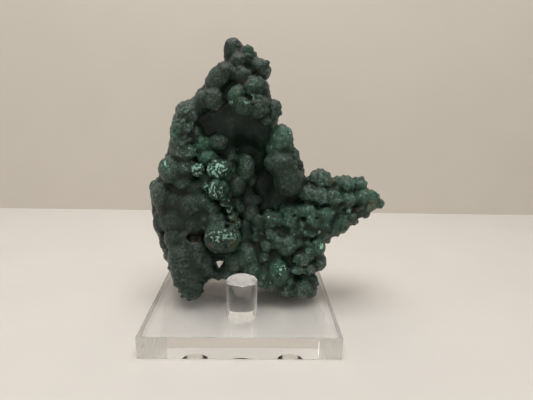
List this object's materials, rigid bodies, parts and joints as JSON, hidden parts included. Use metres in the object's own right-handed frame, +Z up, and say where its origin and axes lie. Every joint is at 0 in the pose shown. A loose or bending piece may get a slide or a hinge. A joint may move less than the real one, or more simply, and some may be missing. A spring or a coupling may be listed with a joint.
{
  "type": "malachite specimen on stand",
  "caption": "Dark green botryoidal malachite specimen, a round-lumped crust around a deep hollow, standing on a clear square slab between round pegs.",
  "frame": {"origin": "centre of the slab's underside", "axes": "+Z up; -Y towards the viewer, on the hollow's side; +X to the viewer's right"},
  "size_m": [0.1386, 0.1, 0.1548],
  "materials": {
    "malachite": "natural silky to matt, very dark green with paler green bruises",
    "clear_acrylic": "polished clear acrylic, IOR 1.49"
  },
  "bodies": {
    "root": {"malachite": "malachite", "acrylic_base": "clear_acrylic", "peg_front": "clear_acrylic", "peg_back_left": "clear_acrylic", "peg_back_right": "clear_acrylic"}
  },
  "joints": []
}
